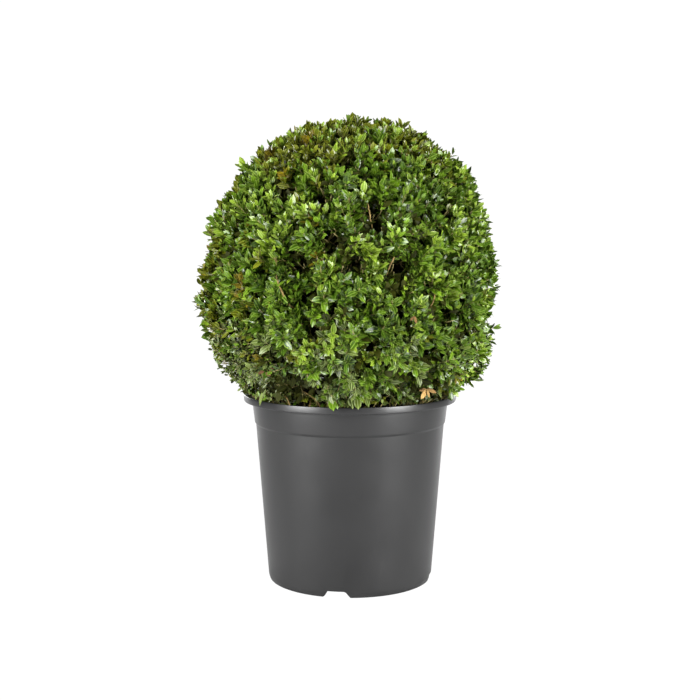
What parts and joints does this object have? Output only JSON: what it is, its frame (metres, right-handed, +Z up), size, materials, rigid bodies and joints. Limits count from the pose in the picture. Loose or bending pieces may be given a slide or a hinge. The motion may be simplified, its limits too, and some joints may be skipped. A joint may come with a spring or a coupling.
{
  "type": "clipped box topiary ball in a nursery pot",
  "caption": "Round clipped evergreen shrub of small glossy leaves on a short stem, in compost in a plain dark tapered pot with a flanged rim.",
  "frame": {"origin": "centre of the pot's underside, on the surface that the pot stands on", "axes": "+Z up along the pot's axis, -Y towards the viewer of the picture, +X to the viewer's right"},
  "size_m": [0.3368, 0.3361, 0.5192],
  "materials": {
    "pot": "satin moulded polypropylene, dark grey",
    "compost": "moist crumbly peat-based compost",
    "bark": "pale tan, finely ridged bark",
    "foliage": "small glossy evergreen leaves"
  },
  "bodies": {
    "root": {"pot": "pot", "soil": "compost", "trunk": "bark", "bough_top": "bark", "bough_front": "bark", "bough_front_right": "bark", "bough_back_right": "bark", "bough_back": "bark", "bough_back_left": "bark", "bough_front_left": "bark", "foliage_top": "foliage", "foliage_front": "foliage", "foliage_front_right": "foliage", "foliage_back_right": "foliage", "foliage_back": "foliage", "foliage_back_left": "foliage", "foliage_front_left": "foliage"}
  },
  "joints": []
}
